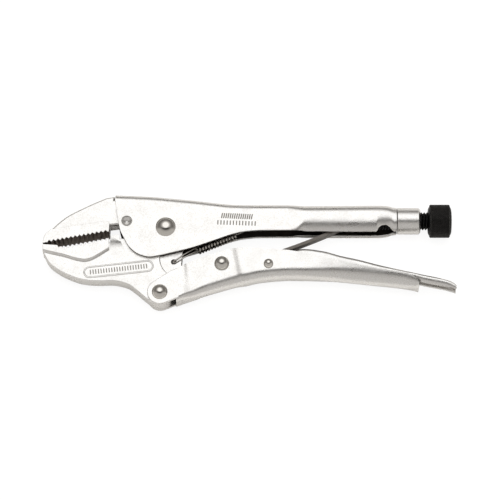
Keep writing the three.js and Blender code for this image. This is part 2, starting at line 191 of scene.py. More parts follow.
def turned(name, profile, axis, centre, steps=96):
    """A profile of (radius, along) points turned about a line along Z or X.

    A profile that starts and ends at radius 0 gets poles; any other closes on itself.
    """
    poles = profile[0][0] == 0
    rows = profile[1:-1] if poles else profile
    turn = [2 * math.pi * i / steps for i in range(steps)]

    def place(radius, along, angle):
        u, v = radius * math.cos(angle), radius * math.sin(angle)
        if axis == "Z":
            return centre[0] + u, centre[1] + v, along
        return along, centre[0] + u, centre[1] + v

    rings = [[place(radius, along, angle) for angle in turn] for radius, along in rows]
    faces, count = closed_tube(rings)
    vertices = [point for ring in rings for point in ring]
    last = (len(rings) - 1) * count
    if poles:
        start, end = len(vertices), len(vertices) + 1
        vertices += [place(*profile[0], 0), place(*profile[-1], 0)]
        faces += [((i + 1) % count, i, start) for i in range(count)]
        faces += [(last + i, last + (i + 1) % count, end) for i in range(count)]
    else:
        faces += [(last + i, last + (i + 1) % count, (i + 1) % count, i) for i in range(count)]
    return outward(piece_from(name, vertices, faces))


def outward(piece):
    """Points every face of a closed body outwards."""
    form = bmesh.new()
    form.from_mesh(piece.data)
    bmesh.ops.recalc_face_normals(form, faces=form.faces)
    form.to_mesh(piece.data)
    form.free()
    return piece


def stack(name, levels, bare=()):
    """A closed body through an outline of equal count at each (height, outline) level.

    bare holds the places of the outline's sides that take the piece's second material.
    """
    rings = [[(x, y, height) for x, y in outline] for height, outline in levels]
    faces, count = closed_tube(rings)
    kinds = [int(i % count in bare) for i in range(len(faces))] + [0, 0]
    faces.append(tuple(reversed(range(count))))
    faces.append(tuple(range((len(rings) - 1) * count, len(rings) * count)))
    return outward(piece_from(name, [point for ring in rings for point in ring], faces, kinds))


def plate(name, outline, low, high, bare=()):
    """An outline with one thickness."""
    return stack(name, [(low, outline), (high, outline)], bare)


def inset(outline, distance):
    """The outline moved inwards. Its points may run either way round."""
    points = np.array(outline, float)
    before, after = points - np.roll(points, 1, 0), np.roll(points, -1, 0) - points
    sides = [way / np.linalg.norm(way, axis=1)[:, None] for way in (before, after)]
    normals = sum(np.column_stack([-way[:, 1], way[:, 0]]) for way in sides)
    lengths = np.linalg.norm(normals, axis=1)[:, None]
    x, y = points.T
    direction = np.sign(np.sum(x * np.roll(y, -1) - y * np.roll(x, -1)))
    reach_in = distance * direction / np.maximum(lengths / 2, 0.6)
    return [tuple(point) for point in points + normals / lengths * reach_in]


def rounded_plate(name, outline, half, radius, steps=5):
    """An outline with one thickness and its edges rolled over."""
    levels = []
    for i in range(steps + 1):
        angle = math.pi / 2 * i / steps
        inwards = radius * (1 - math.sin(angle))
        levels.append((half - radius * (1 - math.cos(angle)), inset(outline, inwards)))
    lower = [(-height, ring) for height, ring in levels]
    return stack(name, lower + levels[::-1])


def disc(at, radius, low, high, steps=64):
    """A plain round cutter."""
    return plate("cutter", arc(at, radius, 0, 360, steps)[:-1], low, high)


# ---------- Curves ----------
def arc(centre, radius, start, end, steps):
    """Points round a circle, from one angle to another."""
    angles = [math.radians(start + (end - start) * i / steps) for i in range(steps + 1)]
    return [(centre[0] + radius * math.cos(a), centre[1] + radius * math.sin(a)) for a in angles]


def through(points, step=0.8):
    """A smooth curve through points of any dimension, in even steps (Catmull-Rom)."""
    points = np.array(points, float)
    padded = np.vstack([2 * points[0] - points[1], points, 2 * points[-1] - points[-2]])
    fine = []
    for a, b, c, d in zip(padded, padded[1:], padded[2:], padded[3:]):
        for t in np.linspace(0, 1, 24, endpoint=False):
            fine.append(0.5 * (2 * b + (c - a) * t + (2 * a - 5 * b + 4 * c - d) * t**2
                               + (3 * b - a - 3 * c + d) * t**3))
    fine = np.array([*fine, points[-1]])
    run = np.concatenate([[0], np.cumsum(np.linalg.norm(np.diff(fine, axis=0), axis=1))])
    count = max(2, round(run[-1] / step))
    wanted = np.linspace(0, run[-1], count + 1)
    return np.column_stack([np.interp(wanted, run, fine[:, i]) for i in range(points.shape[1])])


def smooth_line(points, step=0.8):
    """The same curve as a list of plain (x, y) pairs."""
    return [tuple(point) for point in through(points, step)]


def monotone(x, y, at):
    """A smooth curve through the points that never passes beyond them."""
    gaps = np.diff(x)
    slopes = np.diff(y) / gaps
    tangents = np.zeros(len(y))
    tangents[0], tangents[-1] = slopes[0], slopes[-1]
    for i in range(1, len(y) - 1):
        if slopes[i - 1] * slopes[i] > 0:
            near, far = 2 * gaps[i] + gaps[i - 1], gaps[i] + 2 * gaps[i - 1]
            tangents[i] = (near + far) / (near / slopes[i - 1] + far / slopes[i])
    i = np.clip(np.searchsorted(x, at, side="right") - 1, 0, len(gaps) - 1)
    t = (at - x[i]) / gaps[i]
    return ((2 * t**3 - 3 * t**2 + 1) * y[i] + (t**3 - 2 * t**2 + t) * gaps[i] * tangents[i]
            + (3 * t**2 - 2 * t**3) * y[i + 1] + (t**3 - t**2) * gaps[i] * tangents[i + 1])


def toothed(points, side):
    """Saw teeth with tips on a curve and valleys to its left, or to its right with side -1."""
    line = through(points, TOOTH_PITCH / 2)
    outline = []
    for i, (x, y) in enumerate(line[:-1]):
        if i % 2 == 0:
            outline.append((x, y))
            continue
        along = line[i + 1] - line[i - 1]
        along /= np.linalg.norm(along)
        outline.append((x - along[1] * TOOTH_DEPTH * side, y + along[0] * TOOTH_DEPTH * side))
    return outline + [tuple(line[-1])]


# ---------- Pressed channels ----------
LIP_STEPS = 4
LIP_ROUND = 0.8


def station(x, spine, lip, half, corner=3.5, roll=5.0, curl=3.0, far=None, lean=0.0, taper=0.0):
    """One place along a channel: outside of the spine, ends of the walls, and the bends' sizes.

    far is the end of the lower wall where it differs, lean tips the section forwards, and taper
    is the share of its width that the section has lost at the spine.
    """
    return [x, spine, lip, corner, half, roll, curl, lip if far is None else far, lean, taper]


def half_section(row, lip, inset):
    """From a lip to the middle of the spine, as (sideways, depth) points."""
    spine, corner, half, roll, curl = row[[1, 3, 4, 5, 6]]
    turn = math.radians(curl)
    roll_depth = abs(lip - spine) - roll * math.sin(turn)
    corner_reach = max(corner - inset, 0.15)
    points = []
    for i in range(9):
        angle = turn * (1 - i / 8)
        points.append((half - roll + (roll - inset) * math.cos(angle),
                       roll_depth + (roll - inset) * math.sin(angle)))
    for share in (0.33, 0.66):
        points.append((half - inset, roll_depth + (corner - roll_depth) * share))
    for i in range(11):
        angle = math.pi / 2 * i / 10
        points.append((half - corner + corner_reach * math.cos(angle),
                       corner - corner_reach * math.sin(angle)))
    taper, depth = row[9], abs(lip - spine)
    return [(side * (1 - taper * (1 - min(d / depth, 1))), d) for side, d in points]


def wall_path(row, lip, sheet, thin):
    """One side of a section: from the middle of the lip out to the spine, outside and inside."""
    outer, inner = half_section(row, lip, thin), half_section(row, lip, sheet - thin)
    outwards = np.array(outer[0]) - np.array(outer[1])
    outwards /= np.linalg.norm(outwards)
    spread = (np.array(outer[0]) - np.array(inner[0])) / 2
    back = np.array(outer[0]) - spread - outwards * LIP_ROUND
    outer[0], inner[0] = tuple(back + spread), tuple(back - spread)
    lip_out, lip_in = [], []
    for i in range(LIP_STEPS):
        angle = math.pi / 2 * (i + 0.5) / (LIP_STEPS + 0.5)
        forward, sideways = outwards * LIP_ROUND * math.cos(angle), spread * math.sin(angle)
        lip_out.append(tuple(back + forward + sideways))
        lip_in.append(tuple(back + forward - sideways))
    return lip_out + outer, lip_in + inner


def channel_loop(row, sheet, thin):
    """A channel's whole section at one place. thin takes metal off both faces at the ends."""
    x, spine, lip = row[:3]
    far_lip, lean = row[7:9]
    outer, inner = wall_path(row, lip, sheet, thin)
    far_outer, far_inner = wall_path(row, far_lip, sheet, thin)
    loop = outer + [(0, thin)] + [(-side, depth) for side, depth in reversed(far_outer)]
    loop += [(-side, depth) for side, depth in far_inner] + [(0, sheet - thin)] + inner[::-1]
    towards = math.copysign(1, lip - spine)
    middle = abs(lip - spine) / 2
    return [(x + lean * towards * (depth - middle), spine + towards * depth, side)
            for side, depth in loop]


def channel(name, stations, sheet, step=1.1, end_round=0.5):
    """A pressed sheet channel through its stations, with rounded lips and ends."""
    table = np.array(stations, float)
    run = np.concatenate([[0], np.cumsum(np.hypot(*np.diff(table[:, [0, 2]], axis=0).T))])
    wanted = np.linspace(0, run[-1], round(run[-1] / step) + 1)
    fine = np.column_stack([monotone(run, column, wanted) for column in table.T])
    forward = np.eye(len(fine[0]))[0] * end_round * 0.6
    rings = [channel_loop(row, sheet, 0) for row in fine[1:-1]]
    for share in (0.7, 0.3, 0):
        thin = sheet * 0.3 * (1 - math.sqrt(share))
        rings.insert(0, channel_loop(fine[0] + forward * share, sheet, thin))
        rings.append(channel_loop(fine[-1] - forward * share, sheet, thin))
    faces, count = closed_tube(rings)
    half_count = count // 2
    # kinds marks the inside faces for the second material, which on the handle and lever is painted shade.
    kinds = [int(half_count + LIP_STEPS <= i % count < count - LIP_STEPS - 1) for i in range(len(faces))]
    last = (len(rings) - 1) * count
    for i in range(half_count - 1):
        a, b, c, d = i, i + 1, count - 2 - i, count - 1 - i
        faces += [(a, d, c, b), (last + a, last + b, last + c, last + d)]
        kinds += [0, 0]
    vertices = [point for ring in rings for point in ring]
    return outward(piece_from(name, vertices, faces, kinds))


# ---------- Wires ----------
def wire(name, points, radius, sides=12, step=0.5):
    """A round wire along a smooth curve, closed at both ends."""
    line = through(points, step)
    tangents = np.gradient(line, axis=0)
    tangents /= np.linalg.norm(tangents, axis=1)[:, None]
    across = np.cross(tangents[0], (0.3, 0.2, 0.93))
    rings = []
    for point, along in zip(line, tangents):
        across = across - along * across.dot(along)
        across /= np.linalg.norm(across)
        up = np.cross(along, across)
        angles = [2 * math.pi * i / sides for i in range(sides)]
        rings.append([tuple(point + radius * (math.cos(a) * across + math.sin(a) * up)) for a in angles])
    faces, count = closed_tube(rings)
    last = (len(rings) - 1) * count
    faces.append(tuple(reversed(range(count))))
    faces.append(tuple(range(last, last + count)))
    return outward(piece_from(name, [point for ring in rings for point in ring], faces))


# ---------- Node trees ----------
COLOUR_A, COLOUR_B, MIXED = 6, 7, 2  # places of a colour mix's sockets


def add(tree, kind, inputs=None, **settings):
    """Adds a node with its settings. inputs go by name or place: a socket is linked, a value is set."""
    node = tree.nodes.new(kind)
    for name, value in settings.items():
        setattr(node, name, value)
    for name, value in (inputs or {}).items():
        if isinstance(value, bpy.types.NodeSocket):
            tree.links.new(value, node.inputs[name])
        else:
            node.inputs[name].default_value = value
    return node


def linear(code, alpha=1.0):
    """An sRGB hex colour as linear values."""
    parts = [int(code[i:i + 2], 16) / 255 for i in (1, 3, 5)]
    return *((p / 12.92 if p <= 0.04045 else ((p + 0.055) / 1.055) ** 2.4) for p in parts), alpha


def grain(size):
    """The noise scale that gives grains of a size in millimetres."""
    return 1 / (size * MM)


def material(name, colour, metallic, roughness):
    """A material with its shader, and its place on the piece."""
    made = bpy.data.materials.new(name)
    made.use_nodes = True
    tree = made.node_tree
    shader = tree.nodes["Principled BSDF"]
    shader.inputs["Base Color"].default_value = linear(colour)
    shader.inputs["Metallic"].default_value = metallic
    shader.inputs["Roughness"].default_value = roughness
    place = add(tree, "ShaderNodeTexCoord").outputs["Object"]
    return made, tree, shader, place


def noise(tree, place, size, detail=2.0):
    """Grains of one size, in millimetres."""
    return add(tree, "ShaderNodeTexNoise",
               {"Vector": place, "Scale": grain(size), "Detail": detail}).outputs["Fac"]


def between(tree, value, low, high, start=0.3, end=0.7):
    """A value spread from its start and end to new limits."""
    inputs = {"Value": value, "From Min": start, "From Max": end, "To Min": low, "To Max": high}
    return add(tree, "ShaderNodeMapRange", inputs).outputs["Result"]


def bumped(tree, shader, height, distance):
    """Relief of a height in millimetres."""
    bump = add(tree, "ShaderNodeBump", {"Height": height, "Distance": distance * MM, "Strength": 1.0})
    tree.links.new(bump.outputs["Normal"], shader.inputs["Normal"])


def blend_colours(tree, factor, first, second):
    """One colour where the factor is 0 and another where it is 1."""
    inputs = {0: factor, COLOUR_A: linear(first), COLOUR_B: linear(second)}
    return add(tree, "ShaderNodeMix", inputs, data_type="RGBA").outputs[MIXED]


def satin_plate():
    """Nickel-chrome plate over blasted steel: near white to the light, gritty where it turns away.

    Blast grit is about 0.1 mm; it is drawn at 0.6 mm so that it shows.
    """
    made, tree, shader, place = material("satin nickel-chrome plate", "#E9E8E5", 1.0, 0.3)
    grit = noise(tree, place, 0.6, 3.0)
    patches = noise(tree, place, 7.0)
    tone = blend_colours(tree, between(tree, grit, 0.0, 1.0, 0.42, 0.72), "#EDECEA", "#DAD7D2")
    tree.links.new(tone, shader.inputs["Base Color"])
    tree.links.new(between(tree, patches, 0.25, 0.34), shader.inputs["Roughness"])
    bumped(tree, shader, grit, 0.05)
    return made


def polished_plate():
    """Bright chrome on turned rivet heads: mirrors the room, with the faintest orange peel."""
    made, tree, shader, place = material("polished chrome plate", "#D9D6D0", 1.0, 0.1)
    peel = noise(tree, place, 1.6)
    tree.links.new(between(tree, peel, 0.07, 0.16), shader.inputs["Roughness"])
    bumped(tree, shader, peel, 0.012)
    return made


def channel_inside_painted_shade():
    """Thinly plated inside of a pressed channel: oily and dull; its dark colour is painted shade for the
    shade inside the channel, mottled at random.
    """
    made, tree, shader, place = material("channel insides darkened as painted shade", "#37332F", 1.0, 0.55)
    shade_mottle = noise(tree, place, 4.0, 4.0)
    # Dark colours: painted shade inside the channel.
    tree.links.new(blend_colours(tree, shade_mottle, "#3A3530", "#6E675F"), shader.inputs["Base Color"])
    bumped(tree, shader, noise(tree, place, 0.5), 0.03)
    return made


def black_oxide():
    """Black oxide on machined steel: near black, with a dull sheen; crests are lighter, partly rubbed
    slightly bare and partly a painted glint.
    """
    made, tree, shader, place = material("black oxide", "#111112", 0.7, 0.42)
    fleck = noise(tree, place, 0.8, 3.0)
    crest = add(tree, "ShaderNodeNewGeometry").outputs["Pointiness"]
    # Lighter crests: wear, and in part a painted glint.
    worn_and_glint = between(tree, crest, 0.0, 0.35, 0.52, 0.62)
    tree.links.new(blend_colours(tree, worn_and_glint, "#09090A", "#55534F"), shader.inputs["Base Color"])
    tree.links.new(between(tree, fleck, 0.34, 0.52), shader.inputs["Roughness"])
    bumped(tree, shader, fleck, 0.015)
    return made


def rubbed_oxide_and_glint():
    """Black oxide on the knurl, rubbed grey by hands; the grey is also a painted glint on the studs."""
    made, tree, shader, place = material("rubbed black oxide with painted glint", "#2C2B2B", 0.8, 0.36)
    # Grey studs: rubbed wear, and in part a painted glint.
    tree.links.new(blend_colours(tree, noise(tree, place, 1.5), "#1B1B1B", "#4A4846"),
                   shader.inputs["Base Color"])
    return made


def teeth_steel_with_painted_shade():
    """Bare steel in the jaws' teeth, cut and oiled, duller than the plate round it; its brown-grey is
    darkened in part as painted shade on the teeth.
    """
    made, tree, shader, place = material("bare steel teeth with painted shade", "#5B524B", 1.0, 0.42)
    streak = noise(tree, place, 0.7, 3.0)
    # Brown-grey: bare steel, darkened in part as painted shade.
    tree.links.new(blend_colours(tree, streak, "#6A5D53", "#A4968A"), shader.inputs["Base Color"])
    bumped(tree, shader, streak, 0.02)
    return made


def link_grey_painted_shade():
    """The forged link, plated: its mid grey is painted shade for its place between the lever's walls;
    rougher than the plated walls.
    """
    made, tree, shader, place = material("plated link greyed as painted shade", "#8B8680", 1.0, 0.4)
    scale = noise(tree, place, 1.2, 3.0)
    # Mid grey: painted shade between the lever's walls.
    tree.links.new(blend_colours(tree, scale, "#57534E", "#7C7771"), shader.inputs["Base Color"])
    bumped(tree, shader, scale, 0.03)
    return made


def wire_pale_painted_highlight():
    """Oiled drawn wire, dark on the tool, with a hard thin line of light on every turn; its colour is made
    pale as a painted highlight so that the lines show.
    """
    made, tree, shader, place = material("spring wire paled as painted highlight", "#8A8681", 1.0, 0.28)
    draw = noise(tree, place, 0.4)
    tree.links.new(between(tree, draw, 0.16, 0.3), shader.inputs["Roughness"])
    # Pale colours: painted highlight on a dark wire.
    tree.links.new(blend_colours(tree, draw, "#BDB9B3", "#DEDAD4"), shader.inputs["Base Color"])
    return made


def etched_mark():
    """Laser-etched marks: dull grey oxide that takes no reflection."""
    made, tree, shader, place = material("laser-etched grey", "#8E8A84", 0.2, 0.7)
    dots = noise(tree, place, 0.3)
    tree.links.new(blend_colours(tree, dots, "#5F5C57", "#85817B"), shader.inputs["Base Color"])
    return made


SATIN = satin_plate()
POLISHED = polished_plate()
INSIDE_PAINTED_SHADE = channel_inside_painted_shade()
TEETH = teeth_steel_with_painted_shade()
LINK = link_grey_painted_shade()
BLACK = black_oxide()
RUBBED_AND_GLINT = rubbed_oxide_and_glint()
WIRE = wire_pale_painted_highlight()
ETCHED = etched_mark()


# ---------- Geometry Nodes ----------
def new_tree(name, sizes):
    """A geometry tree with named number inputs. Gives the tree and its inputs."""
    tree = bpy.data.node_groups.new(name, "GeometryNodeTree")
    tree.interface.new_socket("Geometry", in_out="OUTPUT", socket_type="NodeSocketGeometry")
    for label, value in sizes.items():
        kind = "NodeSocketInt" if isinstance(value, int) else "NodeSocketFloat"
        tree.interface.new_socket(label, in_out="INPUT", socket_type=kind)
    given = add(tree, "NodeGroupInput").outputs
    return tree, given


def grown(name, tree, sizes, surface, last):
    """Runs a geometry tree into a plain mesh of one material."""
    real = add(tree, "GeometryNodeRealizeInstances", {"Geometry": last})
    dressed = add(tree, "GeometryNodeSetMaterial", {"Geometry": real.outputs[0], "Material": surface})
    add(tree, "NodeGroupOutput", {0: dressed.outputs[0]})
    piece = bpy.data.objects.new(name, bpy.data.meshes.new(name))
    bpy.context.scene.collection.objects.link(piece)
    grow = piece.modifiers.new("grow", "NODES")
    grow.node_group = tree
    for item in tree.interface.items_tree:
        if item.in_out == "INPUT":
            grow[item.identifier] = sizes[item.name]
    return settle(piece)


def coil(name, turns, radius, wire_radius, length):
    """A close coil along +Z from the origin, in metres."""
    sizes = {"turns": turns, "radius": radius, "wire radius": wire_radius, "length": length}
    tree, given = new_tree(name, sizes)
    spiral = add(tree, "GeometryNodeCurveSpiral", {
        "Resolution": 28, "Rotations": given["turns"], "Start Radius": given["radius"],
        "End Radius": given["radius"], "Height": given["length"]})
    section = add(tree, "GeometryNodeCurvePrimitiveCircle", {
        "Resolution": 10, "Radius": given["wire radius"]})
    swept = add(tree, "GeometryNodeCurveToMesh", {
        "Curve": spiral.outputs[0], "Profile Curve": section.outputs[0], "Fill Caps": True})
    return grown(name, tree, sizes, WIRE, swept.outputs[0])


def math_node(tree, operation, first, second=0.0):
    """One sum."""
    return add(tree, "ShaderNodeMath", {0: first, 1: second}, operation=operation).outputs[0]


def knurl(name, columns, rows, radius, front, length):
    """Raised diamonds round a barrel that lies along X."""
    sizes = {"columns": columns, "rows": rows, "radius": radius, "front": front, "length": length}
    tree, given = new_tree(name, sizes)
    total = math_node(tree, "MULTIPLY", given["columns"], given["rows"])
    dots = add(tree, "GeometryNodeMeshLine", {"Count": total})
    index = add(tree, "GeometryNodeInputIndex").outputs[0]
    column = math_node(tree, "MODULO", index, given["columns"])
    row = math_node(tree, "FLOOR", math_node(tree, "DIVIDE", index, given["columns"]))
    odd = math_node(tree, "MULTIPLY", math_node(tree, "MODULO", row, 2.0), 0.5)
    share = math_node(tree, "DIVIDE", math_node(tree, "ADD", column, odd), given["columns"])
    angle = math_node(tree, "MULTIPLY", share, 2 * math.pi)
    step = math_node(tree, "DIVIDE", given["length"], math_node(tree, "SUBTRACT", given["rows"], 1.0))
    along = math_node(tree, "ADD", given["front"], math_node(tree, "MULTIPLY", row, step))
    spot = add(tree, "ShaderNodeCombineXYZ", {
        "X": along,
        "Y": math_node(tree, "MULTIPLY", math_node(tree, "COSINE", angle), given["radius"]),
        "Z": math_node(tree, "MULTIPLY", math_node(tree, "SINE", angle), given["radius"])})
    outwards = add(tree, "ShaderNodeCombineXYZ", {
        "Y": math_node(tree, "COSINE", angle), "Z": math_node(tree, "SINE", angle)})
    placed = add(tree, "GeometryNodeSetPosition", {"Geometry": dots.outputs[0], "Position": spot.outputs[0]})
    facing = add(tree, "FunctionNodeAlignRotationToVector", {"Vector": outwards.outputs[0]}, axis="Z",
                 pivot_axis="X")
    stud = add(tree, "GeometryNodeMeshCone", {
        "Vertices": 4, "Radius Top": 0.00022, "Radius Bottom": 0.00078, "Depth": 0.0006})
    studs = add(tree, "GeometryNodeInstanceOnPoints", {
        "Points": placed.outputs[0], "Instance": stud.outputs[0], "Rotation": facing.outputs[0]})
    return grown(name, tree, sizes, BLACK, studs.outputs[0])


def bars(name, count, start, end, size, slant, surface):
    """A row of short raised bars between two places, in metres."""
    sizes = {"count": count}
    tree, given = new_tree(name, sizes)
    row = add(tree, "GeometryNodeMeshLine", {
        "Count": given["count"], "Start Location": start, "Offset": end}, mode="END_POINTS")
    bar = add(tree, "GeometryNodeMeshCube", {"Size": size})
    placed = add(tree, "GeometryNodeInstanceOnPoints", {
        "Points": row.outputs[0], "Instance": bar.outputs[0], "Rotation": (0, 0, slant)})
    return grown(name, tree, sizes, surface, placed.outputs[0])


# ---------- Handle group ----------
def fixed_handle():
    """The pressed handle: flat walls round the pivot, rolled nearly shut at the rear."""
    end = HANDLE_END
    seat = SCREW_HEIGHT + side_half("thread_bush")
    flat = [  # x, spine, lip
        (-30.7, 21.4, 17.4), (-29.5, 21.3, 8.8), (-27.4, 21.2, -1.8), (-24.9, 21.1, -7.1),
        (-21.9, 21.0, -12.3), (-15.9, 20.7, -17.1), (-9.6, 20.4, -18.7), (-3.5, 19.9, -17.8),
        (2.5, 19.3, -16.4), (15.8, 18.0, -13.0), (31.0, 16.2, -7.7), (38.8, 15.4, -4.9),
        (46.7, 15.1, -2.9), (57.0, 15.0, -2.0),
    ]
    rolled = [  # x, spine, lip, lower lip, corner, roll, curl
        (73.0, 15.0, -1.9, -1.9, 4.5, 7.5, 3), (79.0, 15.0, -2.1, -2.1, 5.5, 10, 18),
        (85.0, 15.0, -2.3, -3.2, 6.5, 14, 38), (end - 24.8, 15.2, -2.4, -3.3, 6.5, 14, 38),
        (end - 12.6, 15.3, -2.3, -3.2, 6.5, 14, 38), (end - 11.0, 15.3, 0.2, -3.1, 6.5, 14, 33),
        (end - 8.4, 15.25, 1.6, -2.8, 6.6, 14, 30), (end - 6.6, 15.15, 1.6, -2.5, 6.7, 14, 30),
        (end - 4.4, 14.9, 0.3, -2.2, 6.9, 11, 42), (end - 3.0, 14.5, -1.0, -1.9, 7.1, 8, 62),
        (end - 1.6, seat, -1.8, -1.8, 7.3, 7.3, 72), (end, seat, -1.8, -1.8, 7.3, 7.3, 72),
    ]
    stations = [station(*row, HANDLE_HALF, 4.5, roll=7.5) for row in flat]
    for x, spine, lip, far, corner, roll, curl in rolled:
        stations.append(station(x, spine, lip, HANDLE_HALF, corner, roll, curl, far))
    shell = channel("handle shell", stations, HANDLE_SHEET)
    pin_hole = disc(JAW_PIN, JAW_PIN_RADIUS + 0.1, -HANDLE_HALF - 1, HANDLE_HALF + 1)
    return combined(shell, pin_hole, "DIFFERENCE")


def fixed_jaw():
    """The forged upper jaw, with its toothed pad standing proud of both sides."""
    top = 21.3 - HANDLE_SHEET - 0.9
    back = smooth_line([(-70, -1.4), (-64, 4.4), (-57.9, 8.9), (-45.8, 15.2), (-36.2, 19.5)])
    body = back + [(-31.2, 20.3), (-31.2, top), (-9.6, top - 1.0), (-5.6, top - 1.4)]
    body += arc((0, 0), HUB_RADIUS + 0.8, 115, 190, 24)
    body += [(-20, -2.4), (-26.2, -1.8), (-28, 2.4), (-33.7, 1.6), (-36, 0.8), (-70, -4.5)]
    pad = [(-74.1, -10.3), (-72, -9.7)] + toothed([(-71.2, -9.9), (-34.9, -3.1)], 1)
    # The teeth sides take the teeth material, darkened in part as painted shade.
    bare = range(len(pad))
    pad += [(-34.1, -2.8), (-33.9, 2.6), (-34.7, 3.8), (-36.8, 4.1)]
    pad += smooth_line([(-69.4, -1.2), (-72.4, -4), (-73.6, -6.6), (-74.1, -10.3)])[:-1]
    core = rounded_plate("jaw body", body, JAW_HALF, 1.4)
    proud = bevelled(plate("jaw pad", pad, -PAD_HALF, PAD_HALF, bare), 0.4, 2)
    return combined(core, proud, "UNION")


def jaw_pin():
    """The staked pin that holds the fixed jaw, punched in its middle."""
    radius, end = JAW_PIN_RADIUS, HANDLE_HALF - 0.02
    profile = [(0.0, end - 1.7), (0.8, end - 1.5), (1.7, end - 0.75), (2.3, end - 0.3),
               (radius - 0.45, end - 0.1), (radius, end - 0.5)]
    mirror = [(r, -h) for r, h in profile]
    return turned("jaw pin", mirror + profile[::-1], "Z", JAW_PIN)


def rivet(name, centre, wall, shank, head):
    """A rivet with a round polished head set on each wall."""
    rise = REST_HEIGHT - wall
    dome = []
    slope = 2 * math.atan(rise / head) * 0.98
    ball = head / math.sin(slope)
    for i in range(1, 25):
        angle = slope * i / 24
        dome.append((ball * math.sin(angle), REST_HEIGHT - ball * (1 - math.cos(angle))))
    half = [(shank, wall), (head - 0.1, wall)] + dome[::-1] + [(0.0, REST_HEIGHT)]
    mirror = [(r, -h) for r, h in reversed(half)]
    return turned(name, mirror + half, "Z", centre)


def thread_bush():
    """The round nut at the handle's rear end, turned and chamfered."""
    radius, bore = side_half("thread_bush"), SCREW_RADIUS + 0.1
    profile = [(bore, BUSH_FRONT), (radius - 0.2, BUSH_FRONT), (radius, BUSH_FRONT + 0.2),
               (radius, BUSH_REAR - 1.1), (radius - 0.25, BUSH_REAR - 0.8),
               (radius - 0.9, BUSH_REAR - 0.15), (radius - 1.2, BUSH_REAR), (bore + 0.6, BUSH_REAR),
               (bore, BUSH_REAR - 0.6)]
    return turned("thread bush", profile, "X", (SCREW_HEIGHT, 0))


def return_spring():
    """The tension coil between moving jaw and handle, with a double hook and an anchor wire."""
    front, rear = Vector((*COIL_FRONT, 0)), Vector((*COIL_REAR, 0))
    way = rear - front
    radius, thickness = 2.05, 0.66
    turns = round(way.length / 1.9)
    body = coil("spring coil", float(turns), radius * MM, thickness * MM, way.length * MM)
    frame_of_coil = way.to_track_quat("Z", "X").to_matrix().to_4x4()
    place = Matrix.Translation(Vector((front.x, front.y, front.z + REST_HEIGHT)) * MM)
    body.data.transform(place @ frame_of_coil)
    along = way.normalized()
    across = Vector((-along.y, along.x, 0))
    eye = Vector((*SPRING_EYE, 0))
    legs = []
    for side in (1, -1):
        spots = [front + along * 0.8 + across * 1.5 * side, front - along * 1.6 + across * 1.1 * side,
                 front.lerp(eye, 0.5) + across * 0.85 * side, eye + along * 2.2 + across * 0.75 * side]
        legs.append([Vector((p.x, p.y, h)) for p, h in zip(spots, (1.4, 2.9, 4.6, 5.1))])
    turn_back = [Vector((*(eye + along * 0.7 + across * 0.6)[:2], 4.8)),
                 Vector((*(eye - along * 0.4)[:2], 4.0)),
                 Vector((*(eye + along * 0.7 - across * 0.6)[:2], 4.8))]
    hook = wire("spring hook", legs[0] + turn_back + legs[1][::-1], 0.42)
    tail = wire("spring tail", [rear - along * 0.6 + across * 1.7, rear + along * 3 + across * 0.6,
                                Vector((56, 5.2, 0)), Vector((SPRING_ANCHOR[0] - 1.5, 9.5, 0)),
                                Vector((SPRING_ANCHOR[0], SPRING_ANCHOR[1] - 0.5, 0))], 0.5)
    return together("return spring", body, hook, tail)


def size_marks():
    """Two rows of plain tick marks, etched on the handle's side."""
    level = (REST_HEIGHT + HANDLE_HALF) * MM
    upper = bars("upper ticks", 15, (34 * MM, 7.2 * MM, level), (52 * MM, 6.4 * MM, level),
                 (0.75 * MM, 3.4 * MM, 0.05 * MM), -0.2, ETCHED)
    lower = bars("lower ticks", 13, (31.5 * MM, 2.9 * MM, level), (54 * MM, 2.1 * MM, level),
                 (0.7 * MM, 2.8 * MM, 0.05 * MM), -0.04, ETCHED)
    return together("handle tick marks", upper, lower)


# ---------- Moving jaw ----------
def plaque_rim(side):
    """The raised oblong rim on the moving jaw, empty but for a row of bars."""
    a, b = Vector((-45.5, -27.9)), Vector((-10.8, -24.0))
    angle = math.degrees(math.atan2(b.y - a.y, b.x - a.x))
    rings = []
    for radius, height in ((3.75, -0.3), (3.75, 0.15), (3.4, 0.45), (3.1, 0.45), (2.75, 0.15), (2.75, -0.3)):
        loop = arc(a, radius, angle + 90, angle + 270, 24) + arc(b, radius, angle - 90, angle + 90, 24)
        rings.append([(x, y, side * (JAW_HALF + height)) for x, y in loop])
    rings.append(rings[0])
    faces, count = closed_tube(rings[:-1])
    last = (len(rings) - 2) * count
    faces += [(last + i, last + (i + 1) % count, (i + 1) % count, i) for i in range(count)]
    rim = outward(piece_from("plaque rim", [p for ring in rings[:-1] for p in ring], faces))
    level = (REST_HEIGHT + side * (JAW_HALF + 0.02)) * MM
    row = bars("plaque bars", 22, ((a.x + 0.5) * MM, (a.y + 0.05) * MM, level),
               ((b.x - 0.5) * MM, (b.y - 0.05) * MM, level),
               (0.6 * MM, 2.8 * MM, 0.3 * MM), math.radians(angle), ETCHED)
    row.data.polygons.foreach_set("material_index", [2] * len(row.data.polygons))
    return rim, row


def lower_pad():
    """The toothed pad, with a slope along its lower edge down to the jaw's side."""
    tips = toothed([(-65.2, -11.3), (-59.7, -12.2), (-50, -10.1), (-34.9, -6.9)], -1)
    edge = smooth_line([(-33.9, -13.9), (-39.8, -17.7), (-44.6, -20.4), (-48.9, -21.3),
                        (-54.9, -20.2), (-60.9, -18.3), (-67, -16.9), (-74.0, -15.1)])
    top = [(-74.2, -10.7)] + tips + [(-34.3, -6.8)]
    sloped = top + [(x, y + 1.2) for x, y in edge]
    start = PAD_HALF - 1.4
    levels = [(-PAD_HALF, sloped), (-start, top + edge), (start, top + edge), (PAD_HALF, sloped)]
    # The teeth sides take the teeth material, darkened in part as painted shade.
    return stack("jaw pad", levels, range(len(tips) + 1))


